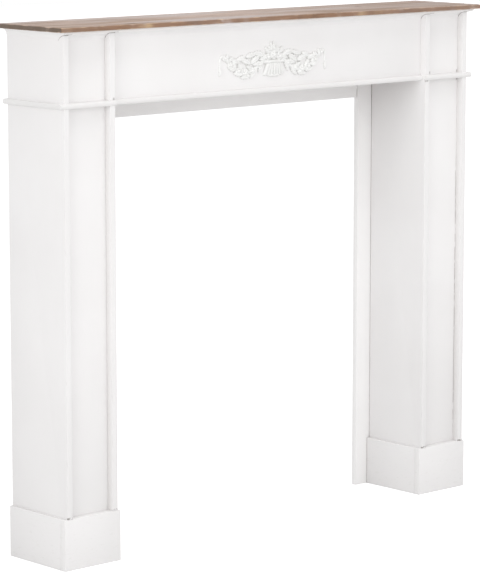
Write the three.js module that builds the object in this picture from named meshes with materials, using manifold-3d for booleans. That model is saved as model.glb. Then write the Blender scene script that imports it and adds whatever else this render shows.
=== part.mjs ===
// Wooden fireplace mantelpiece. Millimetres, Z up, front towards -Y.
// The origin is on the floor at the middle of the box it fills.
// It is drawn with Y = 0 at the front edges of the leg sides and its back at Y = DEPTH, then centred by add().
import * as THREE from "three";
import Module from "manifold-3d";

const wasm = await Module();
wasm.setup();
const { Manifold } = wasm;

// Driving dimensions
const HEIGHT = 1000;
const BODY_WIDTH = 1050;
const DEPTH = 165;
const LEG_WIDTH = 120;
const BOARD = 12;
const RECESS = 14;
const TOP_THICK = 9;
const TOP_SIDE_OVERHANG = 20;
const TOP_FRONT_OVERHANG = 19;
const TOP_EASE = 1.5;
const COVE_HEIGHT = 17;
const COVE_FILLET = 4.5;
const PANEL_COVE_REACH = 26;
const SIDE_COVE_HEIGHT = 13;
const SIDE_COVE_REACH = 13;
const COVE_QUIRK = 0.5;
const COVE_STEPS = 12;
const FRIEZE_HEIGHT = 148;
const COLLAR_HEIGHT = 10;
const COLLAR_SIDE = 11;
const COLLAR_FRONT = 4;
const COLLAR_ROUND = 3;
const COLLAR_STEPS = 6;
const FRIEZE_BEAD = 8;
const PLINTH_HEIGHT = 97;
const PLINTH_PROUD = 6.5;
const PLINTH_EASE = 1;
const STILE_SHOW = 38;
const BACK_THICK = 12;
const RAIL_DROP = 42;
const RAIL_SET_BACK = 3;

// Ornament: its middle above the frieze's lower edge, and the swag that hangs on each side of the basket
const ORNAMENT_RISE = 60;
const PETAL_SEGMENTS = 12;
const BASKET_RIBS = 7;
const SWAG_START = 22;
const SWAG_SPAN = 104;
const SWAG_HIGH = 6;
const SWAG_DROP = 28;
const SWAG_RISE = 5;
const SWAG_POINTS = 14;
const SWAG_SEGMENTS = 8;
const SWAG_RADIUS = 4.6;
const TAIL_RADIUS = 2.4;

const half = BODY_WIDTH / 2;
const boxTop = HEIGHT - TOP_THICK;
const coveBottom = boxTop - COVE_HEIGHT;
const friezeBottom = HEIGHT - FRIEZE_HEIGHT;
const legInner = half - LEG_WIDTH;
const midDepth = (DEPTH - TOP_FRONT_OVERHANG) / 2;
const root = new THREE.Group();

function toGeometry(solid) {
  const m = solid.getMesh();
  const out = new Float32Array(m.numVert * 3);
  for (let i = 0; i < m.numVert; i++) {
    out.set(m.vertProperties.subarray(i * m.numProp, i * m.numProp + 3), i * 3);
  }
  const g = new THREE.BufferGeometry();
  g.setAttribute("position", new THREE.BufferAttribute(out, 3));
  g.setIndex(new THREE.BufferAttribute(m.triVerts, 1));
  return g;
}

function add(name, geometry) {
  geometry.translate(0, -midDepth, 0);
  const mesh = new THREE.Mesh(geometry);
  mesh.name = name;
  root.add(mesh);
}

// A closed solid from level outlines, each { z, pts } with the same count of corners, counter-clockwise.
function stack(levels) {
  const n = levels[0].pts.length;
  const positions = [];
  for (const level of levels) {
    for (const [x, y] of level.pts) positions.push(x, y, level.z);
  }
  const index = [];
  for (let k = 0; k + 1 < levels.length; k++) {
    for (let i = 0; i < n; i++) {
      const a = k * n + i;
      const b = k * n + (i + 1) % n;
      index.push(a, b, b + n, a, b + n, a + n);
    }
  }
  const cap = (level) => THREE.ShapeUtils.triangulateShape(
    level.pts.map(([x, y]) => new THREE.Vector2(x, y)), []);
  for (const [a, b, c] of cap(levels[0])) index.push(a, c, b);
  const last = (levels.length - 1) * n;
  for (const [a, b, c] of cap(levels[levels.length - 1])) index.push(last + a, last + b, last + c);
  const g = new THREE.BufferGeometry();
  g.setAttribute("position", new THREE.Float32BufferAttribute(positions, 3));
  g.setIndex(index);
  return g;
}

function rect(x0, x1, y0, y1) {
  return [[x0, y0], [x1, y0], [x1, y1], [x0, y1]];
}

function board(x0, x1, y0, y1, z0, z1) {
  return stack([{ z: z0, pts: rect(x0, x1, y0, y1) }, { z: z1, pts: rect(x0, x1, y0, y1) }]);
}

// Outlines drawn for the right-hand side are turned over for the left-hand side.
function mirrored(pts, side) {
  return side > 0 ? pts : pts.map(([x, y]) => [-x, y]).reverse();
}

// Levels of a hollow from its lower edge up to the shelf: a small step, then a concave quarter round.
// Each is { z, s } with s the reach there.
function hollow(height, fillet, reach) {
  const bottom = boxTop - height;
  const levels = [];
  for (let i = 0; i <= COVE_STEPS; i++) {
    const a = (i / COVE_STEPS) * (Math.PI / 2);
    const s = COVE_QUIRK + (reach - COVE_QUIRK) * (1 - Math.cos(a));
    levels.push({ z: bottom + (height - fillet) * Math.sin(a), s });
  }
  if (fillet > 0) levels.push({ z: boxTop, s: reach });
  return levels;
}

// The front hollow has a flat band above its curve. frontReach gives its reach at any height.
const frontHollow = hollow(COVE_HEIGHT, COVE_FILLET, PANEL_COVE_REACH);
const sideHollow = hollow(SIDE_COVE_HEIGHT, 0, SIDE_COVE_REACH);
const reachSpan = PANEL_COVE_REACH - COVE_QUIRK;
const curveHeight = COVE_HEIGHT - COVE_FILLET;
function frontReach(z) {
  const t = Math.min(1, Math.max(0, (z - coveBottom) / curveHeight));
  return COVE_QUIRK + reachSpan * (1 - Math.sqrt(1 - t * t));
}

// Height at which the front hollow has come out as far as the boards' front edges
const meetShare = 1 - (RECESS - COVE_QUIRK) / reachSpan;
const meetHeight = coveBottom + curveHeight * Math.sqrt(1 - meetShare * meetShare);

// Eased upper and lower edges on the three free sides of the shelf
const topX = half + TOP_SIDE_OVERHANG;
const shelf = (inset) => rect(-topX + inset, topX - inset, -TOP_FRONT_OVERHANG + inset, DEPTH);
add("top_board", stack([
  { z: boxTop, pts: shelf(TOP_EASE) },
  { z: boxTop + TOP_EASE, pts: shelf(0) },
  { z: HEIGHT - TOP_EASE, pts: shelf(0) },
  { z: HEIGHT, pts: shelf(TOP_EASE) },
]));

// Frieze between the legs, with its hollow above and its bead below
add("frieze_panel", board(-legInner, legInner, RECESS, RECESS + BOARD, friezeBottom, boxTop));
const friezeHollow = ({ z, s }) => ({ z, pts: rect(-legInner, legInner, RECESS - s, RECESS) });
add("frieze_cove", stack(frontHollow.map(friezeHollow)));
const beadLevels = (outline) => {
  const levels = [];
  for (let i = 0; i <= COLLAR_STEPS; i++) {
    const t = -1 + (2 * i) / COLLAR_STEPS;
    const inset = COLLAR_ROUND * (1 - Math.sqrt(Math.max(0, 1 - t * t)));
    levels.push({ z: friezeBottom + (COLLAR_HEIGHT * i) / COLLAR_STEPS, pts: outline(inset) });
  }
  return levels;
};
add("frieze_bead", stack(beadLevels((s) => rect(-legInner, legInner, RECESS - FRIEZE_BEAD + s, RECESS))));

for (const [side, label] of [[-1, "left"], [1, "right"]]) {
  const place = (pts) => mirrored(pts, side);
  const level = (z, pts) => ({ z, pts: place(pts) });
  const slab = (x0, x1, y0, y1, z0, z1) => stack([
    level(z0, rect(x0, x1, y0, y1)),
    level(z1, rect(x0, x1, y0, y1)),
  ]);

  // Side boards: the front edge steps back behind the plinth, and its top end is cut to the hollow's curve
  const sideBoard = (x0, x1, back) => {
    const shape = new THREE.Shape();
    const edge = [[RECESS, 0], [back, 0], [back, boxTop]];
    for (const { z, s } of [...frontHollow].reverse()) {
      if (s > RECESS) edge.push([RECESS - s, z]);
    }
    edge.push([0, meetHeight], [0, PLINTH_HEIGHT], [RECESS, PLINTH_HEIGHT]);
    shape.setFromPoints(edge.map(([y, z]) => new THREE.Vector2(y, z)));
    const g = new THREE.ExtrudeGeometry(shape, { depth: x1 - x0, bevelEnabled: false });
    g.applyMatrix4(new THREE.Matrix4().set(0, 0, 1, 0, 1, 0, 0, 0, 0, 1, 0, 0, 0, 0, 0, 1));
    g.translate(side > 0 ? x0 : -x1, 0, 0);
    return g;
  };
  add("side_outer_" + label, sideBoard(half - BOARD, half, DEPTH));
  add("side_inner_" + label, sideBoard(legInner, legInner + BOARD, DEPTH - BACK_THICK));

  // Recessed front panel of the leg and head, between the side boards
  const panelIn = legInner + BOARD;
  const panelOut = half - BOARD;
  add("leg_panel_" + label, slab(panelIn, panelOut, RECESS, RECESS + BOARD, 0, boxTop));
  const headHollow = ({ z, s }) => level(z, rect(panelIn, panelOut, RECESS - s, RECESS));
  add("head_cove_" + label, stack(frontHollow.map(headHollow)));
  // The side hollow's front end is cut to the curve of the front one
  const sideHollowLevel = ({ z, s }) => level(z, rect(half, half + s, RECESS - frontReach(z), DEPTH));
  add("side_cove_" + label, stack(sideHollow.map(sideHollowLevel)));

  // Collar round the front and outer side of the head, let in between the side boards
  add("collar_" + label, stack(beadLevels((s) => place([
    [legInner, -COLLAR_FRONT + s],
    [half + COLLAR_SIDE - s, -COLLAR_FRONT + s],
    [half + COLLAR_SIDE - s, DEPTH],
    [half, DEPTH],
    [half, 0],
    [panelOut, 0],
    [panelOut, RECESS],
    [panelIn, RECESS],
    [panelIn, 0],
    [legInner, 0],
  ]))));

  // Plinth boards with an eased upper edge
  const plinth = (outline) => stack([
    level(0, outline(0)),
    level(PLINTH_HEIGHT - PLINTH_EASE, outline(0)),
    level(PLINTH_HEIGHT, outline(PLINTH_EASE)),
  ]);
  const out = half + PLINTH_PROUD;
  const inn = legInner - PLINTH_PROUD;
  add("plinth_front_" + label, plinth((e) => rect(inn + e, out - e, e, RECESS)));
  add("plinth_outer_" + label, plinth((e) => rect(half, out - e, RECESS, DEPTH)));
  add("plinth_inner_" + label, plinth((e) => rect(inn + e, legInner, RECESS, DEPTH - BACK_THICK)));

  add("back_stile_" + label, slab(legInner - STILE_SHOW, panelOut, DEPTH - BACK_THICK, DEPTH, 0, boxTop));
}
const railEnd = legInner - STILE_SHOW;
const railBottom = friezeBottom - RAIL_DROP;
add("back_rail", board(-railEnd, railEnd, DEPTH - BACK_THICK + RAIL_SET_BACK, DEPTH, railBottom, boxTop));

// Carved garland. A petal is half an ellipsoid lying on the frieze, given by its centre (u across, w up),
// half length, half width, turn in degrees and relief.
function petal(u, w, length, width, turn, relief) {
  return Manifold.sphere(1, PETAL_SEGMENTS)
    .scale([length, relief, width])
    .rotate([0, -turn, 0])
    .translate([u, 0, w]);
}

// Mid line of the swag, from the basket down and up to the knot, then over into its hanging tail
function swagPoint(t) {
  return [SWAG_START + SWAG_SPAN * t, SWAG_HIGH - SWAG_DROP * Math.sin(Math.PI * t) + SWAG_RISE * t];
}

const pieces = [];

// Basket: rim, ribbed bowl and foot
pieces.push(petal(0, -1, 27, 3.6, 0, 7.5));
pieces.push(petal(0, -27, 14, 3, 0, 5.5));
for (let i = 0; i < BASKET_RIBS; i++) {
  const k = i - (BASKET_RIBS - 1) / 2;
  pieces.push(petal(6.2 * k, -14, 14, 4.2, 90 + 7 * k, 7.5 - 0.35 * Math.abs(k)));
}
// Flowers: place, radius, relief. Leaves: place, half length, half width, turn, relief
const FLOWERS = [[0, 12, 10, 8], [-15, 8, 8, 7.5], [15, 8, 8, 7.5], [-8, 23, 7, 7], [9, 22, 7, 7]];
const TOP_LEAVES = [[0, 29, 9, 4, 88, 6], [-17, 21, 9, 4, 128, 5.5], [18, 20, 9, 4, 50, 5.5],
  [-27, 11, 10, 4.4, 160, 6], [27, 11, 10, 4.4, 20, 6], [-6, 32, 6, 2.6, 105, 5]];
for (const [u, w, r, relief] of FLOWERS) pieces.push(petal(u, w, r, r, 0, relief));
for (const leaf of TOP_LEAVES) pieces.push(petal(...leaf));
// Along each swag: place on it, offset above it, half length, half width, turn, relief
const SWAG_LEAVES = [[0.04, 5, 12, 5, -20, 7], [0.12, -6, 12, 4.8, -70, 6.5], [0.2, 6, 12, 5, -5, 7],
  [0.3, -6, 12, 5, -50, 6.5], [0.38, 7, 11, 4.6, 30, 6.5], [0.5, -7, 12, 4.8, -8, 6.5],
  [0.62, 7, 11, 4.6, 62, 6.5], [0.68, -6, 11, 4.6, 12, 6.5], [0.78, 6, 11, 4.4, 80, 6],
  [0.84, -6, 10, 4.2, 30, 6], [0.94, 5, 8, 3.6, 96, 5.5]];
const SWAG_FLOWERS = [[0.14, 6.5, 7], [0.33, 7.5, 7.5], [0.5, 9, 8], [0.67, 7.5, 7.5], [0.85, 6.5, 7]];
const CREST_LEAVES = [[38, 15, 14, 6, 10, 7], [50, 4, 13, 6, -30, 6.5], [60, 13, 13, 5, -12, 6],
  [74, 3, 13, 5.5, 20, 6], [86, 8, 12, 5, -20, 6], [100, 4, 11, 5, 15, 6], [112, 7, 9, 4, -25, 5.5]];
const TAIL = [[0, 0], [5, 4], [9, 2], [11.5, -5], [10.5, -13], [12.5, -21], [11, -27]];
for (const side of [-1, 1]) {
  const mirrorTurn = (turn) => (side > 0 ? turn : 180 - turn);
  const line = [];
  for (let i = 0; i <= SWAG_POINTS; i++) line.push(swagPoint(i / SWAG_POINTS));
  const knot = swagPoint(1);
  for (const [u, w] of TAIL.slice(1)) line.push([knot[0] + u, knot[1] + w]);
  let last = null;
  line.forEach(([u, w], i) => {
    const r = SWAG_RADIUS + (TAIL_RADIUS - SWAG_RADIUS) * (i / (line.length - 1));
    const ball = Manifold.sphere(r, SWAG_SEGMENTS).translate([side * u, 0, w]);
    if (last) pieces.push(Manifold.hull([last, ball]));
    last = ball;
  });
  for (const [u, w, length, width, turn, relief] of CREST_LEAVES) {
    pieces.push(petal(side * u, w, length, width, mirrorTurn(turn), relief));
  }
  for (const [t, offset, length, width, turn, relief] of SWAG_LEAVES) {
    const [u, w] = swagPoint(t);
    pieces.push(petal(side * u, w + offset, length, width, mirrorTurn(turn), relief));
  }
  for (const [t, r, relief] of SWAG_FLOWERS) {
    const [u, w] = swagPoint(t);
    pieces.push(petal(side * u, w, r, r, 0, relief));
  }
  pieces.push(petal(side * knot[0], knot[1], 6, 5, 0, 7));
  pieces.push(petal(side * (knot[0] + 11), knot[1] - 27, 7, 3, mirrorTurn(-80), 5));
}
const garland = Manifold.union(pieces)
  .trimByPlane([0, -1, 0], 0)
  .translate([0, RECESS, friezeBottom + ORNAMENT_RISE]);
add("carved_garland", toGeometry(garland));

export default root;
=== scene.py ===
import math
import bmesh
import bpy
import numpy as np
from mathutils import Matrix, Vector, noise


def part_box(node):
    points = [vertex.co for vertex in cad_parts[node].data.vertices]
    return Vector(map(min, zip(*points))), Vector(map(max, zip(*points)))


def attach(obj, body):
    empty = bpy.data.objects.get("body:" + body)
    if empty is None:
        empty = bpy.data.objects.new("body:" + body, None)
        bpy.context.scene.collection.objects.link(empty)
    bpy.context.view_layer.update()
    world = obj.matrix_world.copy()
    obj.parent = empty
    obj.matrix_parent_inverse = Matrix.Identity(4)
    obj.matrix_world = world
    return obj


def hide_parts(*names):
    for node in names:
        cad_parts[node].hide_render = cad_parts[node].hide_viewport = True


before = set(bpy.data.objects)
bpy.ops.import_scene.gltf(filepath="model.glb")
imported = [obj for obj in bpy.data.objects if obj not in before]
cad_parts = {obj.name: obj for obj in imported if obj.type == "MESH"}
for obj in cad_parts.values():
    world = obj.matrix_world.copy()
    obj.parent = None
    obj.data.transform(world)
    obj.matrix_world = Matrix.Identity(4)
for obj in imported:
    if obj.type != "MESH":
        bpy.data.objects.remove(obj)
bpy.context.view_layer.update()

MM = 0.001


# Sizes of the surround, in millimetres, as the CAD source has them

HEIGHT = 1000.0
BODY_WIDTH = 1050.0
DEPTH = 165.0
LEG_WIDTH = 120.0
BOARD = 12.0
RECESS = 14.0
TOP_THICK = 9.0
TOP_FRONT_OVERHANG = 19.0
TOP_SIDE_OVERHANG = 20.0
FRIEZE_HEIGHT = 148.0
PLINTH_HEIGHT = 97.0
BACK_THICK = 12.0
STILE_SHOW = 38.0
ORNAMENT_RISE = 60.0

COVE_HEIGHT = 17.0
COVE_FILLET = 4.5
COVE_CURVE = COVE_HEIGHT - COVE_FILLET
COVE_QUIRK = 0.5
PANEL_COVE_REACH = 26.0
COVE_STEPS = 28

BEAD_HEIGHT = 10.0
BEAD_ROUND = 3.0
BEAD_STEPS = 24
FRIEZE_BEAD = 8.0
COLLAR_SIDE = 11.0
COLLAR_FRONT = 4.0

EASE = 0.7
WORN_EASE = 1.3
HOLLOW_EASE = 0.3

HALF = BODY_WIDTH / 2
LEG_INNER = HALF - LEG_WIDTH
PANEL_WIDTH = LEG_WIDTH - 2 * BOARD
BOX_TOP = HEIGHT - TOP_THICK
COVE_BOTTOM = BOX_TOP - COVE_HEIGHT
FRIEZE_BOTTOM = HEIGHT - FRIEZE_HEIGHT
COLLAR_TOP = FRIEZE_BOTTOM + BEAD_HEIGHT
ORNAMENT_Z = FRIEZE_BOTTOM + ORNAMENT_RISE
STILE_FACE = DEPTH - BACK_THICK

# Depths are counted from the front edges of the leg sides. MID_DEPTH takes them to the row frame.
MID_DEPTH = (DEPTH - TOP_FRONT_OVERHANG) / 2


def depth_y(depth):
    """The Y of a depth behind the legs' front edges, in metres in the row frame."""
    return (depth - MID_DEPTH) * MM


# Colours

def rgb(red, green, blue):
    return (red, green, blue, 1.0)


PAINT_SHADE = rgb(0.862, 0.848, 0.845)
PAINT_WHITE = rgb(0.892, 0.88, 0.878)
BRUSH_GREY = rgb(0.79, 0.788, 0.772)
GRAIN_GREY = rgb(0.76, 0.757, 0.74)
BARE_UNDERCOAT = rgb(0.56, 0.53, 0.49)
# Painted shade: the grey the paint darkens to towards the floor
LOW_SHADE_GREY = rgb(0.785, 0.772, 0.768)
SCUFF_GREY = rgb(0.66, 0.65, 0.62)
# Painted light: a lighter white for the shaded stiles and rail. Painted shade: a duller white for the beads
PAINTED_LIGHT_WHITE = rgb(0.955, 0.945, 0.94)
PAINTED_SHADE_WHITE = rgb(0.79, 0.778, 0.772)
RECESS_SHADE = rgb(0.66, 0.645, 0.62)
# The colour of dark joints and cracks, and of painted shade in corners
JOINT_AND_SHADE_DARK = rgb(0.19, 0.17, 0.15)

CARVING_SHADE = rgb(0.86, 0.857, 0.846)
CARVING_WHITE = rgb(0.9, 0.899, 0.892)
CARVING_HOLLOW_SHADE = rgb(0.42, 0.42, 0.39)

PALE_RING = rgb(0.70, 0.552, 0.474)
DARK_RING = rgb(0.51, 0.388, 0.33)
STREAK_BROWN = rgb(0.27, 0.185, 0.14)
PATCH_GREY = rgb(0.60, 0.535, 0.515)
PATCH_BROWN = rgb(0.335, 0.215, 0.135)
FIBRE_BROWN = rgb(0.288, 0.216, 0.182)
PORE_BROWN = rgb(0.132, 0.096, 0.077)
KNOT_BROWN = rgb(0.192, 0.102, 0.048)
SAWN_DARK = rgb(0.15, 0.078, 0.043)
SAWN_BROWN = rgb(0.285, 0.155, 0.085)
SAWN_GOLD = rgb(0.56, 0.385, 0.215)
SAWN_FIBRE = rgb(0.13, 0.07, 0.042)
END_GRAIN = rgb(0.126, 0.088, 0.06)
LEFT_END_STAIN = rgb(0.228, 0.192, 0.17)
RIGHT_STAIN = rgb(0.285, 0.205, 0.165)
WORN_WOOD = rgb(0.696, 0.504, 0.348)

FLOOR_GREY = rgb(0.93, 0.93, 0.93)
FLOOR_PALE = rgb(0.95, 0.95, 0.95)
FLOOR_BOUNCE = rgb(0.85, 0.85, 0.85)
LIGHT_WHITE = rgb(1.0, 1.0, 1.0)


# Node maths: a wrapped socket whose operators add Math nodes

class Tree:
    """The nodes of a material, of the world or of a modifier."""

    def __init__(self, node_tree):
        self.nodes = node_tree.nodes
        self.links = node_tree.links
        self.nodes.clear()

    def feed(self, socket, value):
        """Links a Value or a list of them to a socket, or sets a plain value on it."""
        if isinstance(value, Value):
            self.links.new(value.socket, socket)
        elif isinstance(value, list):
            for one in value:
                self.feed(socket, one)
        else:
            socket.default_value = value

    def node(self, kind, settings, sockets, output=0):
        """A node with its settings made and its sockets fed, as the Value of one output if it has any."""
        made = self.nodes.new(kind)
        for key, value in settings.items():
            setattr(made, key, value)
        for key, value in sockets.items():
            self.feed(made.inputs[key], value)
        return Value(self, made.outputs[output]) if made.outputs else None

    def math(self, operation, *values):
        return self.node("ShaderNodeMath", {"operation": operation}, dict(enumerate(values)))

    def camera_switch(self, unseen, seen):
        """The first shader for light that falls on things, the second for what the camera sees."""
        seen_ray = self.node("ShaderNodeLightPath", {}, {}, "Is Camera Ray")
        return self.node("ShaderNodeMixShader", {}, {0: seen_ray, 1: unseen, 2: seen})


class Finish(Tree):
    """The nodes of one material, with the place of each point in metres."""

    def __init__(self, name):
        self.material = bpy.data.materials.new(name)
        self.material.use_nodes = True
        super().__init__(self.material.node_tree)
        self.place = self.node("ShaderNodeTexCoord", {}, {}, "Object")
        parts = self.node("ShaderNodeSeparateXYZ", {}, {"Vector": self.place})
        self.x, self.y, self.z = [parts.other(axis) for axis in "XYZ"]

    def stretched(self, scale, shift=(0.0, 0.0, 0.0)):
        return self.node("ShaderNodeMapping", {}, {"Vector": self.place, "Scale": scale, "Location": shift})

    def noise(self, vector, scale, detail, roughness):
        return self.node("ShaderNodeTexNoise", {}, {
            "Vector": vector, "Scale": scale, "Detail": detail, "Roughness": roughness}, "Fac")

    def mix(self, factor, first, second):
        return self.node("ShaderNodeMix", {"data_type": "RGBA"}, {0: factor, 6: first, 7: second}, 2)

    def bump(self, height, strength, distance):
        return self.node("ShaderNodeBump", {}, {
            "Strength": strength, "Distance": distance, "Height": height})

    def attribute(self, name):
        return self.node("ShaderNodeAttribute", {"attribute_name": name}, {}, "Fac")

    def principled(self, sockets):
        return self.node("ShaderNodeBsdfPrincipled", {}, sockets)

    def close(self, shader):
        """Gives the material its shader."""
        self.node("ShaderNodeOutputMaterial", {}, {"Surface": shader})
        return self.material


class Value:
    """A socket that takes part in Python arithmetic."""

    def __init__(self, tree, socket):
        self.tree = tree
        self.socket = socket

    def other(self, output):
        """Another output of the same node."""
        return Value(self.tree, self.socket.node.outputs[output])

    def __add__(self, other):
        return self.tree.math("ADD", self, other)

    def __sub__(self, other):
        return self.tree.math("SUBTRACT", self, other)

    def __rsub__(self, other):
        return self.tree.math("SUBTRACT", other, self)

    def __mul__(self, other):
        return self.tree.math("MULTIPLY", self, other)

    __radd__ = __add__
    __rmul__ = __mul__

    def abs(self):
        return self.tree.math("ABSOLUTE", self)

    def power(self, exponent):
        return self.tree.math("POWER", self, exponent)

    def most(self, other):
        return self.tree.math("MAXIMUM", self, other)

    def step(self, none_at, full_at):
        """0 at the first value, 1 at the second, smooth between them."""
        return self.tree.node("ShaderNodeMapRange", {"interpolation_type": "SMOOTHSTEP"}, {
            "Value": self, "From Min": none_at, "From Max": full_at})

    def near(self, at, core, reach):
        """1 within core of a place, 0 past reach from it."""
        return 1 - (self - at).abs().step(core, reach)


# White paint over fine-grained wood. The brush ran along each board: upright, or level along X.

UPRIGHT_BRUSH = (60.0, 60.0, 3.0)
LEVEL_BRUSH = (3.0, 60.0, 60.0)
GRAIN_FINER = 4.0
LOW_SHADE_HEIGHT = 0.42
SCUFF_HEIGHT = 0.16
PAINT_SPECULAR = 0.42
LIGHT_SHADE_TINT_SHARE = 0.8

PANEL_INNER_EDGE = LEG_INNER + BOARD
PANEL_OUTER_EDGE = HALF - BOARD

# Each split is its X, its lower and upper ends and its width, in millimetres, and its strength
SPLIT_FADE_IN = 50.0
SPLIT_FADE_OUT = 90.0
RIGHT_PANEL_SPLIT = (PANEL_OUTER_EDGE - 1.2, 110.0, 720.0, 1.3, 0.42)
RAIL_END = LEG_INNER - STILE_SHOW - 0.2
RAIL_JOINTS = tuple((side * RAIL_END, 700.0, 1200.0, 2.2, 0.55) for side in (-1, 1))

# Each painted shade corner is its X, its Z and the depth that the mark stops at, in millimetres
PANEL_MARK_DEPTH = RECESS + 9.0
POST_MARK_DEPTH = 3.0
CORNER_INSET = 1.5
OVER_COLLAR = COLLAR_TOP + 3.0
UNDER_COLLAR = FRIEZE_BOTTOM - 3.0
LEFT_PANEL_CORNERS = ((CORNER_INSET - PANEL_INNER_EDGE, OVER_COLLAR, PANEL_MARK_DEPTH),
                      (CORNER_INSET - PANEL_INNER_EDGE, UNDER_COLLAR, PANEL_MARK_DEPTH))
RIGHT_PANEL_CORNERS = ((PANEL_OUTER_EDGE - CORNER_INSET, OVER_COLLAR, PANEL_MARK_DEPTH),
                       (PANEL_OUTER_EDGE - CORNER_INSET, UNDER_COLLAR, PANEL_MARK_DEPTH),
                       (PANEL_INNER_EDGE + 14.5, OVER_COLLAR, PANEL_MARK_DEPTH))
POST_CORNERS = ((-LEG_INNER - 3.5, COLLAR_TOP + 1.8, POST_MARK_DEPTH),
                (LEG_INNER + 2.0, FRIEZE_BOTTOM - 0.4, POST_MARK_DEPTH),
                (LEG_INNER + 6.5, FRIEZE_BOTTOM - 0.2, POST_MARK_DEPTH))


def split_mark(tree, split):
    """A fine broken crack that fades out at both ends."""
    at, low, high, width, strength = split
    line = tree.x.near(at * MM, width * MM * 0.35, width * MM)
    fade_in = tree.z.step(low * MM, (low + SPLIT_FADE_IN) * MM)
    fade_out = tree.z.step((high - SPLIT_FADE_OUT) * MM, high * MM)
    broken = tree.noise(tree.stretched((1.0, 1.0, 18.0)), 3.0, 2.0, 0.5).step(0.32, 0.5)
    return line * (fade_in * (1 - fade_out)) * broken * strength


def hollow_joint(tree):
    """The open joint round the end of the hollow, on the boards' sides."""
    out = depth_y(RECESS) - tree.y
    across = (PANEL_COVE_REACH * MM - out) * (1 / MM / (PANEL_COVE_REACH - COVE_QUIRK))
    up = (tree.z - COVE_BOTTOM * MM) * (1 / MM / COVE_CURVE)
    off_arc = ((across * across + up * up).power(0.5) - 1).abs()
    gaps = tree.noise(tree.place, 130.0, 2.0, 0.5).step(0.30, 0.46)
    return (1 - off_arc.step(0.025, 0.06)) * up.step(0.02, 0.15) * gaps * 0.9


def post_foot_marks(tree):
    """Small dark marks at the foot of each narrow front, just above the plinth."""
    front = 1 - tree.y.step(depth_y(0.8), depth_y(POST_MARK_DEPTH))
    foot = tree.z.near((PLINTH_HEIGHT + 1.5) * MM, 0.0008, 0.0032)
    return front * foot * tree.noise(tree.place, 150.0, 2.0, 0.5).step(0.44, 0.56) * 0.75


def recess_shade(tree):
    """Painted shade on the boards' faces towards the recess, strongest at the panel."""
    off_inner = (tree.x.abs() - PANEL_INNER_EDGE * MM).abs().step(0.0004, 0.0012)
    off_outer = (tree.x.abs() - PANEL_OUTER_EDGE * MM).abs().step(0.0004, 0.0012)
    return (1 - off_inner * off_outer) * tree.y.step(depth_y(-0.5), depth_y(13.0))


def stile_gap(tree):
    """The open joint between the inner boards and the stile behind them, darker at the top."""
    line = tree.y.step(depth_y(STILE_FACE - 2.3), depth_y(STILE_FACE - 1.2))
    return line * (0.45 + 0.4 * tree.z.step(0.70, 0.86))


def collar_corner_shade(tree, corner):
    """Painted shade in a corner above or below the collar."""
    at_x, at_z, depth = corner
    front = 1 - tree.y.step(depth_y(depth - 1.0), depth_y(depth))
    return tree.x.near(at_x * MM, 0.0008, 0.0034) * tree.z.near(at_z * MM, 0.0010, 0.0046) * front * 0.5


def strongest(marks):
    """The darkest of the marks at each point."""
    dark = marks[0]
    for mark in marks[1:]:
        dark = dark.most(mark)
    return dark


def white_paint(name, upright=False, splits=(), side_board=False, gap=False, corners=(), tint=None):
    """Brushed white paint, with the wear, the dark marks and the painted light and shade of one kind of
    board.
    """
    tree = Finish(name)
    brush = UPRIGHT_BRUSH if upright else LEVEL_BRUSH
    streaks = tree.noise(tree.stretched(brush), 6.0, 4.0, 0.55)
    fine = tree.noise(tree.stretched(tuple(GRAIN_FINER * v for v in brush)), 9.0, 3.0, 0.6)
    cloud = tree.noise(tree.place, 5.5, 3.0, 0.5)
    speckle = tree.noise(tree.place, 420.0, 2.0, 0.6)
    rubbed = tree.attribute("edge") * tree.noise(tree.place, 38.0, 4.0, 0.62).step(0.52, 0.68)
    smears = tree.noise(tree.stretched((14.0, 14.0, 40.0)), 5.0, 4.0, 0.6).step(0.56, 0.72)

    colour = tree.mix(cloud.step(0.3, 0.75), PAINT_SHADE, PAINT_WHITE)
    colour = tree.mix(streaks.step(0.58, 0.8) * 0.2, colour, BRUSH_GREY)
    colour = tree.mix(fine.step(0.6, 0.82) * 0.14, colour, GRAIN_GREY)
    colour = tree.mix(rubbed * 0.22, colour, BARE_UNDERCOAT)
    # Painted shade: the paint darkens towards the floor over the lowest 0.42 m
    colour = tree.mix(tree.z.step(LOW_SHADE_HEIGHT, 0.0) * 0.55, colour, LOW_SHADE_GREY)
    colour = tree.mix(tree.z.step(SCUFF_HEIGHT, 0.0) * smears * 0.25, colour, SCUFF_GREY)
    # Painted light on the stiles and rail, painted shade on the beads
    if tint is not None:
        colour = tree.mix(LIGHT_SHADE_TINT_SHARE, colour, tint)
    # Painted shade on the faces towards the recess
    if side_board:
        colour = tree.mix(recess_shade(tree) * 0.32, colour, RECESS_SHADE)

    marks = [split_mark(tree, split) for split in splits]
    if side_board:
        marks += [hollow_joint(tree), post_foot_marks(tree)]
    if gap:
        marks.append(stile_gap(tree))
    # Painted shade in the concave corners by the collars
    marks += [collar_corner_shade(tree, corner) for corner in corners]
    height = streaks * 0.55 + fine * 0.35 + speckle * 0.12 - rubbed * 0.5
    if marks:
        # The darkest mark takes the dark colour: dark joints and cracks, the dark marks at the plinth, and
        # painted shade in the collar corners
        dark = strongest(marks)
        colour = tree.mix(dark, colour, JOINT_AND_SHADE_DARK)
        height = height - dark * 1.5
    return tree.close(tree.principled({
        "Base Color": colour,
        "Roughness": 0.42 + 0.16 * cloud + 0.08 * fine + 0.15 * rubbed,
        "Normal": tree.bump(height, 0.35, 0.0004),
        "Specular IOR Level": PAINT_SPECULAR}))


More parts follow.
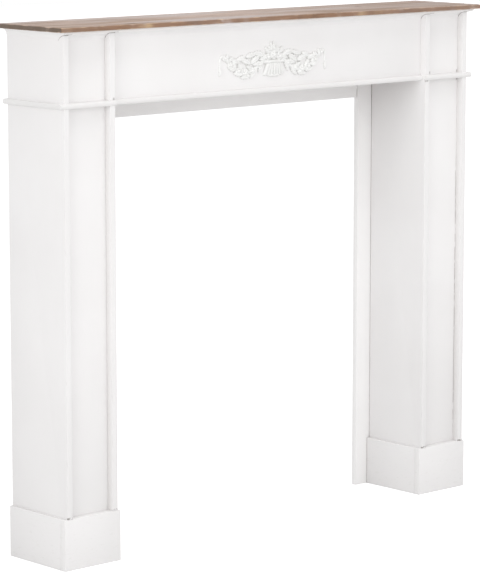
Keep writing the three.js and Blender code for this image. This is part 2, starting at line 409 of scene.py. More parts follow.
def carving_paint(name):
    """The same paint on the carving, with painted shade in its hollows and round its foot."""
    tree = Finish(name)
    cloud = tree.noise(tree.place, 90.0, 3.0, 0.55)
    colour = tree.mix(cloud.step(0.3, 0.75), CARVING_SHADE, CARVING_WHITE)
    # Painted shade in the hollows and on the low ground round the carving
    colour = tree.mix(tree.attribute("hollow") * 0.55, colour, CARVING_HOLLOW_SHADE)
    return tree.close(tree.principled({
        "Base Color": colour,
        "Roughness": 0.42 + 0.15 * cloud,
        "Normal": tree.bump(cloud, 0.2, 0.0002),
        "Specular IOR Level": PAINT_SPECULAR}))


# Bare stained shelf board, grain along X

SHELF_FRONT = depth_y(-TOP_FRONT_OVERHANG)
SHELF_END = (HALF + TOP_SIDE_OVERHANG) * MM
WOOD_SPECULAR = 0.3
LEFT_STAIN_END = -0.40
RIGHT_STAIN_START = 0.02
RIGHT_STAIN_FULL = 0.46

# Each knot is its X, its Y and its size
KNOTS = ((-0.372, -0.079, 0.011), (0.31, 0.024, 0.009))


def wood_rings(tree):
    """Long growth rings, bent slowly along the board."""
    bend = tree.noise(tree.stretched((1.8, 10.0, 10.0)), 1.6, 3.0, 0.5)
    warped = tree.node("ShaderNodeCombineXYZ", {}, {
        "X": tree.x * 1.3, "Y": tree.y * 22.0 + bend * 2.4, "Z": tree.z * 22.0 + bend * 1.1})
    bands = {"wave_type": "BANDS", "bands_direction": "Y", "wave_profile": "SAW"}
    return tree.node("ShaderNodeTexWave", bands, {
        "Vector": warped, "Scale": 1.5, "Distortion": 4.0, "Detail": 3.0,
        "Detail Scale": 1.1, "Detail Roughness": 0.6}, "Fac")


def knot_spot(tree, fibre, knot):
    """A small knot, longer along the grain."""
    at_x, at_y, size = knot
    off_x, off_y = tree.x - at_x, tree.y - at_y
    off = tree.math("SQRT", off_x * off_x * 0.35 + off_y * off_y)
    return 1 - (off + (fibre - 0.5) * 0.006).step(size * 0.35, size)


def sawn_edge(tree, fibre):
    """The colour of the front edge, golden to dark along its length."""
    tint = tree.noise(tree.stretched((1.0, 0.0, 0.0)), 7.0, 3.0, 0.6)
    sawn = tree.mix(tint.step(0.36, 0.5), SAWN_DARK, SAWN_BROWN)
    sawn = tree.mix(tint.step(0.56, 0.68), sawn, SAWN_GOLD)
    return tree.mix(fibre.step(0.4, 0.7) * 0.5, sawn, SAWN_FIBRE)


def shelf_wood(name):
    """Grey-brown board with rings, streaks and knots, sawn edges and stained ends."""
    tree = Finish(name)
    rings = wood_rings(tree)
    fibre = tree.noise(tree.stretched((5.0, 260.0, 260.0)), 3.0, 5.0, 0.62)
    pores = tree.noise(tree.stretched((22.0, 620.0, 620.0)), 2.2, 2.0, 0.5).step(0.62, 0.72)
    streak = tree.noise(tree.stretched((2.2, 30.0, 30.0)), 2.0, 3.0, 0.6)
    broad = tree.noise(tree.stretched((1.0, 7.0, 7.0), (3.0, 1.0, 0.0)), 3.0, 3.0, 0.55)

    colour = tree.mix(rings, PALE_RING, DARK_RING)
    colour = tree.mix(streak.step(0.44, 0.66) * 0.62, colour, STREAK_BROWN)
    colour = tree.mix(broad.step(0.47, 0.62) * 0.8, colour, PATCH_GREY)
    colour = tree.mix((1 - broad).step(0.53, 0.66) * 0.75, colour, PATCH_BROWN)
    colour = tree.mix(fibre.step(0.36, 0.74) * 0.5, colour, FIBRE_BROWN)
    colour = tree.mix(pores * 0.55, colour, PORE_BROWN)
    for knot in KNOTS:
        colour = tree.mix(knot_spot(tree, fibre, knot) * 0.8, colour, KNOT_BROWN)

    front = 1 - tree.y.step(SHELF_FRONT - 0.0001, SHELF_FRONT + 0.0018)
    ends = tree.x.abs().step(SHELF_END - 0.0018, SHELF_END - 0.0003)
    left = 1 - tree.x.step(-SHELF_END, LEFT_STAIN_END)
    right = tree.x.step(RIGHT_STAIN_START, RIGHT_STAIN_FULL)
    worn = tree.attribute("edge") * tree.noise(tree.place, 34.0, 4.0, 0.6).step(0.5, 0.66) * (1 - ends)
    colour = tree.mix(front * 0.85, colour, sawn_edge(tree, fibre))
    colour = tree.mix(ends * 0.9, colour, END_GRAIN)
    colour = tree.mix(left * 0.16, colour, LEFT_END_STAIN)
    colour = tree.mix(right * 0.34, colour, RIGHT_STAIN)
    colour = tree.mix(worn * 0.5, colour, WORN_WOOD)
    return tree.close(tree.principled({
        "Base Color": colour,
        "Roughness": 0.56 + 0.18 * fibre,
        "Normal": tree.bump(fibre * 0.6 + rings * 0.3 - pores * 0.7, 0.4, 0.0004),
        "Specular IOR Level": WOOD_SPECULAR}))


PAINT_LEVEL = white_paint("white_paint_level")
PAINT_BEAD = white_paint("white_paint_beads", tint=PAINTED_SHADE_WHITE)
PAINT_PANEL = white_paint("white_paint_left_panel", upright=True, corners=LEFT_PANEL_CORNERS)
PAINT_SPLIT = white_paint("white_paint_split_panel", upright=True, splits=(RIGHT_PANEL_SPLIT,),
                          corners=RIGHT_PANEL_CORNERS)
PAINT_OUTER = white_paint("white_paint_side_boards", upright=True, side_board=True)
PAINT_INNER = white_paint("white_paint_inner_boards", upright=True, side_board=True, gap=True,
                          corners=POST_CORNERS)
PAINT_INNER_FOOT = white_paint("white_paint_inner_plinth", gap=True)
PAINT_STILE = white_paint("white_paint_stiles", upright=True, tint=PAINTED_LIGHT_WHITE)
PAINT_RAIL = white_paint("white_paint_rail", splits=RAIL_JOINTS, tint=PAINTED_LIGHT_WHITE)
CARVING = carving_paint("white_paint_carving")
WOOD = shelf_wood("stained_shelf_wood")


# Pieces: each object stands for one CAD node and takes its finish from a slot

WELD = 1e-5
FLAT_ANGLE = math.radians(0.6)
SHARP_ANGLE = math.radians(32)
HOLLOW_SHARP_ANGLE = math.radians(40)
BOARD_CREASE = math.radians(28)
MOULDING_CREASE = math.radians(30)
SIDES = (("left", -1), ("right", 1))


def new_object(name, data):
    obj = bpy.data.objects.new(name, data)
    bpy.context.scene.collection.objects.link(obj)
    return obj


def finish_piece(obj, node, material):
    """The object stands for its CAD node and takes its finish from a slot."""
    obj.data.materials.clear()
    obj.data.materials.append(material)
    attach(obj, "root")
    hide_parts(node)


def whole_faces(node):
    """A copy of the CAD node's mesh with its flat faces whole."""
    bm = bmesh.new()
    bm.from_mesh(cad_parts[node].data)
    bmesh.ops.remove_doubles(bm, verts=bm.verts, dist=WELD)
    bmesh.ops.dissolve_limit(bm, angle_limit=FLAT_ANGLE, verts=bm.verts, edges=bm.edges)
    return bm


def mesh_from(bm, name, crease):
    """The finished mesh, sharp where its faces meet at more than the crease."""
    mesh = bpy.data.meshes.new(name)
    bm.to_mesh(mesh)
    bm.free()
    mesh.set_sharp_from_angle(angle=crease)
    return mesh


def split_long_faces(bm):
    """Cuts faces of more than four corners into triangles."""
    bmesh.ops.triangulate(bm, faces=[face for face in bm.faces if len(face.verts) > 4])


def eased_copy(node, name, ease, material, sharp_angle=SHARP_ANGLE, rounded=False):
    """A copy of a board with its sharp edges eased. The eased strips carry the edge attribute."""
    bm = whole_faces(node)
    bm.normal_update()
    sharp = [e for e in bm.edges if len(e.link_faces) == 2 and e.calc_face_angle() > sharp_angle]
    made = bmesh.ops.bevel(bm, geom=sharp, offset=ease * MM, offset_type="OFFSET", segments=2,
                           profile=0.5, affect="EDGES", clamp_overlap=True, miter_outer="ARC")
    bm.faces.index_update()
    eased = {face.index for face in made["faces"] if face.is_valid}
    layer = bm.loops.layers.float.new("edge")
    for face in bm.faces:
        face.smooth = rounded or face.index in eased
        for loop in face.loops:
            loop[layer] = 1.0 if face.index in eased else 0.0
    split_long_faces(bm)
    finish_piece(new_object(name, mesh_from(bm, name, BOARD_CREASE)), node, material)


PANEL_PAINT = {"left": PAINT_PANEL, "right": PAINT_SPLIT}
BOARD_PAINT = {"side_outer": PAINT_OUTER, "side_inner": PAINT_INNER, "back_stile": PAINT_STILE,
               "plinth_outer": PAINT_LEVEL, "plinth_inner": PAINT_INNER_FOOT}


def leg_boards(label):
    """The front panel, side boards, stile and plinth of one leg."""
    eased_copy("leg_panel_" + label, "leg-panel-" + label, EASE, PANEL_PAINT[label])
    for kind, paint in BOARD_PAINT.items():
        eased_copy(kind + "_" + label, kind.replace("_", "-") + "-" + label, EASE, paint)
    eased_copy("plinth_front_" + label, "plinth-front-" + label, WORN_EASE, PAINT_LEVEL)


for label, _ in SIDES:
    leg_boards(label)
eased_copy("frieze_panel", "frieze-panel", EASE, PAINT_LEVEL)
eased_copy("back_rail", "back-rail", EASE, PAINT_RAIL)


# Moulding runs: a tree takes a flat profile and pushes it along

def moulding_tree():
    """Pushes the profile along X by the length, closes its start and gives it its finish."""
    group = bpy.data.node_groups.new("moulding_run", "GeometryNodeTree")
    for name, kind in (("Profile", "Geometry"), ("Length", "Float"), ("Finish", "Material")):
        group.interface.new_socket(name, in_out="INPUT", socket_type="NodeSocket" + kind)
    group.interface.new_socket("Run", in_out="OUTPUT", socket_type="NodeSocketGeometry")
    tree = Tree(group)
    profile = tree.node("NodeGroupInput", {}, {})
    along = tree.node("ShaderNodeCombineXYZ", {}, {"X": profile.other("Length")})
    pushed = tree.node("GeometryNodeExtrudeMesh", {}, {
        "Mesh": profile, "Offset": along, "Individual": False})
    start = tree.node("GeometryNodeFlipFaces", {}, {"Mesh": profile})
    joined = tree.node("GeometryNodeJoinGeometry", {}, {"Geometry": [start, pushed]})
    merged = tree.node("GeometryNodeMergeByDistance", {}, {"Geometry": joined, "Distance": 1e-6})
    real = tree.node("GeometryNodeRealizeInstances", {}, {"Geometry": merged})
    finished = tree.node("GeometryNodeSetMaterial", {}, {
        "Geometry": real, "Material": profile.other("Finish")})
    tree.node("NodeGroupOutput", {}, {"Run": finished})
    return group


MOULDING = moulding_tree()


def moulding_run(profile, length, material):
    """A closed run of a profile from X = 0 to its length, standing out towards -Y.

    A point of the profile is its reach out of the wall and its height, in millimetres.
    """
    mesh = bpy.data.meshes.new("profile")
    points = [(0.0, -reach * MM, up * MM) for reach, up in profile]
    mesh.from_pydata(points, [], [tuple(range(len(points)))])
    if mesh.polygons[0].normal.x < 0:
        mesh.flip_normals()
    obj = new_object("profile", mesh)
    modifier = obj.modifiers.new("run", "NODES")
    modifier.node_group = MOULDING
    values = {"Length": length * MM, "Finish": material}
    for item in MOULDING.interface.items_tree:
        if item.in_out == "INPUT" and item.name in values:
            modifier[item.identifier] = values[item.name]
    obj.update_tag()
    graph = bpy.context.evaluated_depsgraph_get()
    made = bpy.data.meshes.new_from_object(obj.evaluated_get(graph))
    bpy.data.objects.remove(obj)
    return made


def cove_profile(reach):
    """A hollow with a small step at its foot and a flat fillet at its head."""
    points = [(0.0, 0.0)]
    for i in range(COVE_STEPS + 1):
        angle = i / COVE_STEPS * math.pi / 2
        out = COVE_QUIRK + (reach - COVE_QUIRK) * (1 - math.cos(angle))
        points.append((out, COVE_CURVE * math.sin(angle)))
    return points + [(reach, COVE_HEIGHT), (0.0, COVE_HEIGHT)]


def bead_profile(reach):
    """A flattened round, bulging most at half its height."""
    points = [(0.0, 0.0)]
    for i in range(BEAD_STEPS + 1):
        off_middle = -1 + 2 * i / BEAD_STEPS
        inset = BEAD_ROUND * (1 - math.sqrt(max(0.0, 1 - off_middle * off_middle)))
        points.append((reach - inset, BEAD_HEIGHT * i / BEAD_STEPS))
    return points + [(0.0, BEAD_HEIGHT)]


def bar_profile(reach):
    """A plain bar as high as the bead."""
    return [(0.0, 0.0), (reach, 0.0), (reach, BEAD_HEIGHT), (0.0, BEAD_HEIGHT)]


def place_run(mesh, x, depth, z, quarter_turns=0):
    """Turns a run and moves its start to a place in millimetres."""
    turn = Matrix.Rotation(quarter_turns * math.pi / 2, 4, "Z")
    mesh.transform(Matrix.Translation(Vector((x, depth - MID_DEPTH, z)) * MM) @ turn)
    return mesh


FACET_FOOT = 0.4 * MM
FACET_WEAR = 0.35


def moulding_piece(name, node, meshes, material):
    """Joins placed runs into one object, its paint a little rubbed along the foot of each facet."""
    bm = bmesh.new()
    for mesh in meshes:
        bm.from_mesh(mesh)
        bpy.data.meshes.remove(mesh)
    bmesh.ops.recalc_face_normals(bm, faces=bm.faces)
    layer = bm.loops.layers.float.new("edge")
    for face in bm.faces:
        face.smooth = True
        low = min(vert.co.z for vert in face.verts)
        for loop in face.loops:
            loop[layer] = FACET_WEAR if loop.vert.co.z < low + FACET_FOOT else 0.0
    finish_piece(new_object(name, mesh_from(bm, name, MOULDING_CREASE)), node, material)


def hollow_run(length, x):
    """A length of the front hollow under the shelf, from a place in X."""
    run = moulding_run(cove_profile(PANEL_COVE_REACH), length, PAINT_LEVEL)
    return place_run(run, x, RECESS, COVE_BOTTOM)


def bead_run(profile, length, x, depth, quarter_turns=0):
    """A length of bead at the foot of the frieze and of the heads."""
    return place_run(moulding_run(profile, length, PAINT_BEAD), x, depth, FRIEZE_BOTTOM, quarter_turns)


def frieze_mouldings():
    """The hollow over the frieze and the bead along its foot."""
    hollow = hollow_run(2 * LEG_INNER, -LEG_INNER)
    moulding_piece("frieze-hollow", "frieze_cove", [hollow], PAINT_LEVEL)
    bead = bead_run(bead_profile(FRIEZE_BEAD), 2 * LEG_INNER, -LEG_INNER, RECESS)
    moulding_piece("frieze-bead", "frieze_bead", [bead], PAINT_BEAD)


def collar(label, side, panel_x):
    """The bead round one head: a front run with its outer corner, a flush bar and a side run."""
    front_x = LEG_INNER if side > 0 else -HALF - COLLAR_SIDE
    front = bead_run(bead_profile(COLLAR_FRONT), LEG_WIDTH + COLLAR_SIDE, front_x, 0.0)
    bar = bead_run(bar_profile(RECESS), PANEL_WIDTH, panel_x, RECESS)
    # A side run stands out towards +X after a quarter turn, and towards -X after three
    start_depth, quarter_turns = (0.0, 1) if side > 0 else (DEPTH, 3)
    along_side = bead_run(bead_profile(COLLAR_SIDE), DEPTH, side * HALF, start_depth, quarter_turns)
    moulding_piece("collar-" + label, "collar_" + label, [front, bar, along_side], PAINT_BEAD)


def head_mouldings(label, side):
    """The hollows and the collar of one head."""
    panel_x = LEG_INNER + BOARD if side > 0 else -HALF + BOARD
    hollow = hollow_run(PANEL_WIDTH, panel_x)
    moulding_piece("head-hollow-" + label, "head_cove_" + label, [hollow], PAINT_LEVEL)
    eased_copy("side_cove_" + label, "side-hollow-" + label, HOLLOW_EASE, PAINT_LEVEL,
               HOLLOW_SHARP_ANGLE, rounded=True)
    collar(label, side, panel_x)


frieze_mouldings()
for label, side in SIDES:
    head_mouldings(label, side)


# Shelf board: small dents along its front and ends, and a top that dips slightly

# Depths are in millimetres, and rates are noise steps in a metre

SHELF_CUTS = ((0, 150), (1, 26))
CUT_WELD = 1e-6
RIM_REACH = 4 * MM
DENT_RATE = 46.0
DENT_START = 0.12
DENT_DEPTH = 1.6
NICK_RATE = 160.0
NICK_START = 0.42
NICK_DEPTH = 3.0
NICK_SHIFT = Vector((7, 3, 1))
DIP_RATE_X = 5.0
DIP_RATE_Y = 9.0
DIP_SLICE = 0.3
DIP_DEPTH = 0.25
TOP_SKIN = 0.5 * MM
DENT_DOWN = -0.4
DENT_UP = 0.2
LEAST_SLANT = 0.2
MOST_SLANT = 0.95


def cut_finely(bm, low, high):
    """Cuts the board across X and Y into a grid that can carry dents."""
    for axis, count in SHELF_CUTS:
        normal = Vector((0, 0, 0))
        normal[axis] = 1.0
        for i in range(1, count):
            at = Vector((0, 0, 0))
            at[axis] = low[axis] + (high[axis] - low[axis]) * i / count
            geom = bm.verts[:] + bm.edges[:] + bm.faces[:]
            bmesh.ops.bisect_plane(bm, geom=geom, plane_co=at, plane_no=normal, dist=CUT_WELD)


def rim_dent(place, low, high):
    """How far a point at the rim is pushed in by wide dents and sharp nicks."""
    dent = max(0.0, noise.noise(place * DENT_RATE) - DENT_START) * DENT_DEPTH * MM
    nick = max(0.0, noise.noise(place * NICK_RATE + NICK_SHIFT) - NICK_START) * NICK_DEPTH * MM
    inward = Vector((0, 0, 0))
    inward.x = 1.0 if place.x - low[0] < RIM_REACH else -1.0 if high[0] - place.x < RIM_REACH else 0.0
    inward.y = 1.0 if place.y - low[1] < RIM_REACH else 0.0
    inward.z = DENT_DOWN if place.z > (low[2] + high[2]) / 2 else DENT_UP
    return inward * (dent + nick)


def shelf_board():
    """The bare board, its slanted strips carrying the edge attribute."""
    low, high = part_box("top_board")
    bm = whole_faces("top_board")
    cut_finely(bm, low, high)
    for vert in bm.verts:
        place = vert.co.copy()
        if min(place.x - low[0], high[0] - place.x, place.y - low[1]) < RIM_REACH:
            vert.co += rim_dent(place, low, high)
        elif place.z > high[2] - TOP_SKIN:
            dip = noise.noise(Vector((place.x * DIP_RATE_X, place.y * DIP_RATE_Y, DIP_SLICE)))
            vert.co.z -= max(0.0, dip) * DIP_DEPTH * MM
    layer = bm.loops.layers.float.new("edge")
    bm.normal_update()
    for face in bm.faces:
        face.smooth = True
        slant = 1.0 if LEAST_SLANT < abs(face.normal.z) < MOST_SLANT else 0.0
        for loop in face.loops:
            loop[layer] = slant
    split_long_faces(bm)
    mesh = mesh_from(bm, "shelf-board", BOARD_CREASE)
    finish_piece(new_object("shelf-board", mesh), "top_board", WOOD)


shelf_board()


# Carved garland: a relief on a fine grid, each leaf, flower and rib a rise above the frieze

# The grid is in millimetres from the garland's middle

CARVE_STEP = 0.55
CARVE_X = (-147.0, 147.0)
CARVE_Z = (-34.0, 44.0)
CARVE_MOST = 7.95
CARVE_LEAST = 0.35
CARVE_RIM = 0.05
CELL_CORNERS = ((0, 0), (0, 1), (1, 1), (1, 0))
CORNER_PASSES = 3
SOFTEN_PASSES = 2
HOLLOW_PASSES = 14
GROUND_HEIGHT = 1.2
GROUND_SHADE = 0.35

COLUMNS = int((CARVE_X[1] - CARVE_X[0]) / CARVE_STEP) + 1
ROWS = int((CARVE_Z[1] - CARVE_Z[0]) / CARVE_STEP) + 1
GRID_X, GRID_Z = np.meshgrid(np.linspace(*CARVE_X, COLUMNS), np.linspace(*CARVE_Z, ROWS))


def local(x, z, turn):
    """The grid as seen from a motif's middle, along it and across it, turned by degrees."""
    angle = math.radians(turn)
    dx, dz = GRID_X - x, GRID_Z - z
    return dx * math.cos(angle) + dz * math.sin(angle), -dx * math.sin(angle) + dz * math.cos(angle)


def leaf(x, z, length, width, turn, relief):
    """A lobed leaf with a sunk middle rib and side veins."""
    along, across = local(x, z, turn)
    along, across = along / length, across / width
    lobes = 1 + 0.13 * np.sin(along * 13.0)
    outline = np.clip(1 - along ** 2, 0, 1) ** 0.62 * (1 - 0.22 * along) * lobes
    side = np.abs(across) / np.maximum(outline, 1e-3)
    body = np.clip(1 - side ** 2, 0, 1) ** 0.5
    rib = np.exp(-(across / 0.13) ** 2)
    veins = 0.5 + 0.5 * np.cos(15.0 * (along - 0.55 * np.abs(across)))
    fall = 0.78 + 0.22 * np.cos((along + 0.25) * 1.6)
    height = relief * fall * body * (1 - 0.3 * rib - 0.16 * veins * (1 - rib))
    return np.where((np.abs(along) < 1) & (side < 1), height, 0)


def flower(x, z, radius, relief, petals, turn):
    """A round bloom with folded petals and a raised heart."""
    along, across = local(x, z, turn)
    angle = np.arctan2(across, along)
    rim = 1 + 0.1 * np.cos(petals * angle)
    out = np.hypot(along, across) / radius / rim
    cup = np.clip(1 - out ** 2, 0, 1) ** 0.5
    folds = 0.5 + 0.5 * np.cos(petals * angle + 5.0 * out)
    inner = 0.5 + 0.5 * np.cos(out * 11.0)
    heart = np.exp(-(out / 0.24) ** 2)
    height = relief * (cup * (0.78 - 0.2 * folds * (out > 0.3) - 0.14 * inner) + 0.28 * heart)
    return np.where(out < 1, np.clip(height, 0, relief), 0)


# The basket's rim and foot are each a place, half a length, half a height and a relief

BASKET_RIM = (0, -1, 27, 3.6, 7.5)
BASKET_FOOT = (0, -27, 14, 3, 5.5)
BASKET_RIBS = 7
RIB_GAP = 6.2
RIB_MIDDLE = -14
RIB_LENGTH = 14
RIB_WIDTH = 4.2
RIB_LEAN = 7
RIB_RELIEF = 7.5
RIB_FALL = 0.35
WEAVE = 2.6
ROPE_TWIST = 1.9


def basket_rib(k):
    """One woven upright of the basket, counted from the middle one, its top leaning towards it."""
    along, across = local(RIB_GAP * k, RIB_MIDDLE, 90 + RIB_LEAN * k)
    along, across = along / RIB_LENGTH, across / RIB_WIDTH
    relief = RIB_RELIEF - RIB_FALL * abs(k)
    height = relief * np.clip(1 - along ** 4, 0, 1) ** 0.5 * np.clip(1 - across ** 2, 0, 1) ** 0.5
    weave = 0.9 + 0.1 * np.cos(GRID_Z * WEAVE + math.pi * (k % 2))
    return np.where((np.abs(along) < 1) & (np.abs(across) < 1), height * weave, 0)


def roped_band(x, z, length, width, relief):
    """A level roped band, for the basket's rim and foot."""
    along, across = (GRID_X - x) / length, (GRID_Z - z) / width
    height = relief * np.clip(1 - along ** 6, 0, 1) ** 0.5 * np.clip(1 - across ** 2, 0, 1) ** 0.5
    return height * (0.88 + 0.12 * np.cos(ROPE_TWIST * GRID_X + 1.1 * GRID_Z))


def basket():
    """Rim, foot and ribs."""
    height = np.maximum(roped_band(*BASKET_RIM), roped_band(*BASKET_FOOT))
    for i in range(BASKET_RIBS):
        height = np.maximum(height, basket_rib(i - BASKET_RIBS // 2))
    return height


# A flower is its place, radius and relief. A leaf is its place, length, width, turn and relief.
# On the swag, a place is the share of the way along, and for leaves also how far above it.
# The tail and its leaf are placed from the knot.

FLOWERS = ((0, 12, 10, 8), (-15, 8, 8, 7.5), (15, 8, 8, 7.5), (-8, 23, 7, 7), (9, 22, 7, 7))
TOP_LEAVES = ((0, 29, 9, 4, 88, 6), (-17, 21, 9, 4, 128, 5.5), (18, 20, 9, 4, 50, 5.5),
              (-27, 11, 10, 4.4, 160, 6), (27, 11, 10, 4.4, 20, 6), (-6, 32, 6, 2.6, 105, 5))
SWAG_LEAVES = ((0.04, 5, 12, 5, -20, 7), (0.12, -6, 12, 4.8, -70, 6.5), (0.2, 6, 12, 5, -5, 7),
               (0.3, -6, 12, 5, -50, 6.5), (0.38, 7, 11, 4.6, 30, 6.5), (0.5, -7, 12, 4.8, -8, 6.5),
               (0.62, 7, 11, 4.6, 62, 6.5), (0.68, -6, 11, 4.6, 12, 6.5), (0.78, 6, 11, 4.4, 80, 6),
               (0.84, -6, 10, 4.2, 30, 6), (0.94, 5, 8, 3.6, 96, 5.5))
SWAG_FLOWERS = ((0.14, 6.5, 7), (0.33, 7.5, 7.5), (0.5, 9, 8), (0.67, 7.5, 7.5), (0.85, 6.5, 7))
CREST_LEAVES = ((38, 15, 14, 6, 10, 7), (50, 4, 13, 6, -30, 6.5), (60, 13, 13, 5, -12, 6),
                (74, 3, 13, 5.5, 20, 6), (86, 8, 12, 5, -20, 6), (100, 4, 11, 5, 15, 6),
                (112, 7, 9, 4, -25, 5.5))
FLOWER_PETALS = 5
FLOWER_TURN = 24
SWAG_FLOWER_TURN = 30
SIDE_FLOWER_TURN = 15
KNOT_RADIUS = 6
KNOT_RELIEF = 7
KNOT_PETALS = 4
KNOT_TURN = 20
TAIL = ((5, 4), (9, 2), (11.5, -5), (10.5, -13), (12.5, -21), (11, -27))
TAIL_LEAF = (11, -27, 7, 3, -80, 5)

# Where a bloom is higher than the first number, the relief under it is cut back to the second as a share
BASKET_BLOOM = (0.8, 0.75)
SWAG_BLOOM = (0.6, 0.8)

SWAG_START = 22.0
SWAG_SPAN = 104.0
SWAG_HIGH = 6.0
SWAG_DROP = 28.0
SWAG_RISE = 5.0
SWAG_POINTS = 28
SWAG_RADIUS = 4.6
TAIL_RADIUS = 2.4
RIBBON_LENGTH = 165.0


def swag_point(share):
    """A place on the right swag, from 0 at the basket to 1 at the knot."""
    height = SWAG_HIGH - SWAG_DROP * math.sin(math.pi * share) + SWAG_RISE * share
    return SWAG_START + SWAG_SPAN * share, height


def ribbon(line):
    """A ribbon along a line, round on top with a twist, thinner towards its end."""
    height = np.zeros_like(GRID_X)
    run = 0.0
    for (x, z), (next_x, next_z) in zip(line, line[1:]):
        step_x, step_z = next_x - x, next_z - z
        span = math.hypot(step_x, step_z)
        share = np.clip(((GRID_X - x) * step_x + (GRID_Z - z) * step_z) / span ** 2, 0, 1)
        gap = np.hypot(GRID_X - x - share * step_x, GRID_Z - z - share * step_z)
        along = run + share * span
        radius = SWAG_RADIUS + (TAIL_RADIUS - SWAG_RADIUS) * along / RIBBON_LENGTH
        rise = np.sqrt(np.clip(radius ** 2 - gap ** 2, 0, None))
        height = np.maximum(height, rise * (0.9 + 0.1 * np.cos(along * 1.5 + gap)))
        run += span
    return height


def laid_on(height, bloom, clear_above, share_kept):
    """Lays a bloom on the relief, which is cut back where the bloom stands clear of the ground."""
    return np.where(bloom > clear_above, np.maximum(bloom, height * share_kept), np.maximum(bloom, height))


def side_leaf(side, x, z, length, width, turn, relief):
    """A leaf of the right half, or its mirror image on the left."""
    return leaf(side * x, z, length, width, turn if side > 0 else 180 - turn, relief)


def side_garland(height, side):
    """Adds one side: ribbon and tail, crest, swag leaves and flowers, knot and last leaf."""
    line = [swag_point(i / SWAG_POINTS) for i in range(SWAG_POINTS + 1)]
    knot_x, knot_z = line[-1]
    line += [(knot_x + x, knot_z + z) for x, z in TAIL]
    height = np.maximum(height, ribbon([(side * x, z) for x, z in line]))
    for one in CREST_LEAVES:
        height = np.maximum(height, side_leaf(side, *one))
    for share, above, *shape in SWAG_LEAVES:
        x, z = swag_point(share)
        height = np.maximum(height, side_leaf(side, x, z + above, *shape))
    for n, (share, radius, relief) in enumerate(SWAG_FLOWERS):
        x, z = swag_point(share)
        turn = SWAG_FLOWER_TURN * n + SIDE_FLOWER_TURN * side
        bloom = flower(side * x, z, radius, relief, FLOWER_PETALS + n % 2, turn)
        height = laid_on(height, bloom, *SWAG_BLOOM)
    knot = flower(side * knot_x, knot_z, KNOT_RADIUS, KNOT_RELIEF, KNOT_PETALS, KNOT_TURN)
    out, down, *shape = TAIL_LEAF
    return np.maximum(np.maximum(height, knot), side_leaf(side, knot_x + out, knot_z + down, *shape))


def carved_height():
    """The height of the relief over the grid."""
    height = basket()
    for one in TOP_LEAVES:
        height = np.maximum(height, leaf(*one))
    for _, side in SIDES:
        height = side_garland(height, side)
    for n, (x, z, radius, relief) in enumerate(FLOWERS):
        bloom = flower(x, z, radius, relief, FLOWER_PETALS + n % 2, FLOWER_TURN * n)
        height = laid_on(height, bloom, *BASKET_BLOOM)
    return np.clip(height, 0, CARVE_MOST)


def softened(height, passes):
    """The grid with each point drawn towards its four neighbours."""
    for _ in range(passes):
        total = 4 * height
        for shift, axis in ((1, 0), (-1, 0), (1, 1), (-1, 1)):
            total = total + np.roll(height, shift, axis)
        height = total / 8
    return height


def carved_cells(shown):
    """The grid cells that the carving covers.

    Cells that meet only at a corner get a third cell beside them, so that the walls never touch.
    """
    keep = shown[:-1, :-1] | shown[1:, :-1] | shown[:-1, 1:] | shown[1:, 1:]
    for _ in range(CORNER_PASSES):
        keep[1:, :-1] |= keep[:-1, :-1] & keep[1:, 1:] & ~keep[:-1, 1:]
        keep[:-1, :-1] |= keep[1:, :-1] & keep[:-1, 1:] & ~keep[1:, 1:]
    return keep


def hollow_share(height):
    """How deep each point lies beside its surroundings, 0 to 1, and some of that on the low ground, as the
    share of painted shade.
    """
    low = np.clip(softened(height, HOLLOW_PASSES) - height, 0, 1)
    ground = GROUND_SHADE * (GROUND_HEIGHT - np.clip(height, 0, GROUND_HEIGHT))
    return np.maximum(low, np.where(height < GROUND_HEIGHT, ground, 0))


def carved_garland():
    """A closed body: the relief in front, walls round its rim and a flat back inside the frieze's face."""
    height = softened(carved_height(), SOFTEN_PASSES)
    shown = height > CARVE_LEAST
    rise = np.where(shown, np.maximum(height, CARVE_RIM), -CARVE_RIM)
    row, column = np.nonzero(carved_cells(shown))
    used = np.zeros(GRID_X.shape, bool)
    for down, right in CELL_CORNERS:
        used[row + down, column + right] = True
    count = int(used.sum())
    number = -np.ones(GRID_X.shape, int)
    number[used] = np.arange(count)

    face = RECESS - MID_DEPTH
    front = np.stack([GRID_X[used], face - rise[used], ORNAMENT_Z + GRID_Z[used]], 1)
    back = np.stack([GRID_X[used], np.full(count, face + 2 * CARVE_RIM), ORNAMENT_Z + GRID_Z[used]], 1)
    quads = np.stack([number[row + down, column + right] for down, right in CELL_CORNERS], 1)
    starts = quads.reshape(-1)
    ends = np.roll(quads, -1, 1).reshape(-1)
    rim = ~np.isin(starts * count + ends, ends * count + starts)
    walls = np.stack([ends[rim], starts[rim], starts[rim] + count, ends[rim] + count], 1)
    faces = np.concatenate([quads, quads[:, ::-1] + count, walls])

    mesh = bpy.data.meshes.new("carved-garland")
    mesh.from_pydata((np.concatenate([front, back]) * MM).tolist(), [], faces.tolist())
    mesh.validate()
    layer = mesh.attributes.new("hollow", "FLOAT", "POINT")
    layer.data.foreach_set("value", np.tile(hollow_share(height)[used], 2).astype(np.float32))
    mesh.polygons.foreach_set("use_smooth", [True] * len(mesh.polygons))
    finish_piece(new_object("carved-garland", mesh), "carved_garland", CARVING)


carved_garland()


# Floor, light and camera

FLOOR_REACH = 14.0
FLOOR_ROUGHNESS = 0.9
FLOOR_SPECULAR = 0.1
FLOOR_GLOW = 0.5
ROOM_LIGHT = 0.745
LIT_POINT = (0.0, 0.0, 0.6)

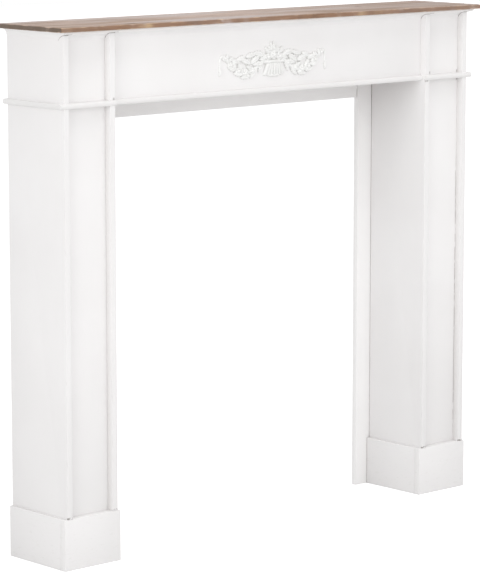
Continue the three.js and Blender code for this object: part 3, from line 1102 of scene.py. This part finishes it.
# Each soft box is its name, its place and its size in metres, and its power in watts
SOFT_BOXES = (("front_soft_box", (0.9, -3.8, 2.4), (1.8, 1.4), 17.0),
              ("left_soft_box", (-4.4, -1.45, 1.7), (2.2, 1.6), 41.0),
              ("low_soft_box", (-0.4, -4.4, 0.6), (2.4, 0.7), 13.0),
              ("top_soft_box", (-0.4, -1.3, 4.4), (2.6, 2.0), 38.0))

CAMERA_PLACE = (-3.74849, -4.08775, 1.33779)
CAMERA_DIP = 8.93
CAMERA_TURN = -42.28
CAMERA_LENS = 180.14
CAMERA_SENSOR = 36.0
CAMERA_REACH = 60.0


def floor_paper():
    """Bright paper to the camera. It throws little light back up, as paper that is lit by itself."""
    tree = Finish("pale_floor")
    seen = tree.principled({
        "Base Color": tree.mix(tree.noise(tree.place, 1.4, 2.0, 0.5), FLOOR_GREY, FLOOR_PALE),
        "Roughness": FLOOR_ROUGHNESS,
        "Specular IOR Level": FLOOR_SPECULAR,
        "Emission Color": LIGHT_WHITE,
        "Emission Strength": FLOOR_GLOW})
    unseen = tree.node("ShaderNodeBsdfDiffuse", {}, {"Color": FLOOR_BOUNCE})
    return tree.close(tree.camera_switch(unseen, seen))


def pale_floor():
    """One square of paper under the feet."""
    corners = [(x * FLOOR_REACH, y * FLOOR_REACH, 0) for x, y in ((-1, -1), (1, -1), (1, 1), (-1, 1))]
    mesh = bpy.data.meshes.new("floor")
    mesh.from_pydata(corners, [], [(0, 1, 2, 3)])
    mesh.materials.append(floor_paper())
    new_object("floor", mesh)


def studio_world():
    """White to the camera, and a weaker light from all round on the object."""
    world = bpy.data.worlds.new("studio")
    world.use_nodes = True
    tree = Tree(world.node_tree)
    room = tree.node("ShaderNodeBackground", {}, {"Color": LIGHT_WHITE, "Strength": ROOM_LIGHT})
    sheet = tree.node("ShaderNodeBackground", {}, {"Color": LIGHT_WHITE})
    tree.node("ShaderNodeOutputWorld", {}, {"Surface": tree.camera_switch(room, sheet)})
    bpy.context.scene.world = world


def soft_box(name, place, size, power):
    """A rectangular light that faces the surround."""
    light = bpy.data.lights.new(name, "AREA")
    light.shape = "RECTANGLE"
    light.size, light.size_y = size
    light.energy = power
    obj = new_object(name, light)
    obj.location = place
    obj.rotation_euler = (Vector(LIT_POINT) - Vector(place)).to_track_quat("-Z", "Y").to_euler()


def photo_camera():
    """Stands and looks as in the photo."""
    camera = bpy.data.cameras.new("camera")
    camera.sensor_fit = "AUTO"
    camera.sensor_width = CAMERA_SENSOR
    camera.lens = CAMERA_LENS
    camera.clip_end = CAMERA_REACH
    obj = new_object("camera", camera)
    obj.location = CAMERA_PLACE
    obj.rotation_euler = (math.radians(90 - CAMERA_DIP), 0.0, math.radians(CAMERA_TURN))
    return obj


pale_floor()
studio_world()
for box in SOFT_BOXES:
    soft_box(*box)
bpy.context.scene.camera = photo_camera()
bpy.context.scene.view_settings.view_transform = "Standard"
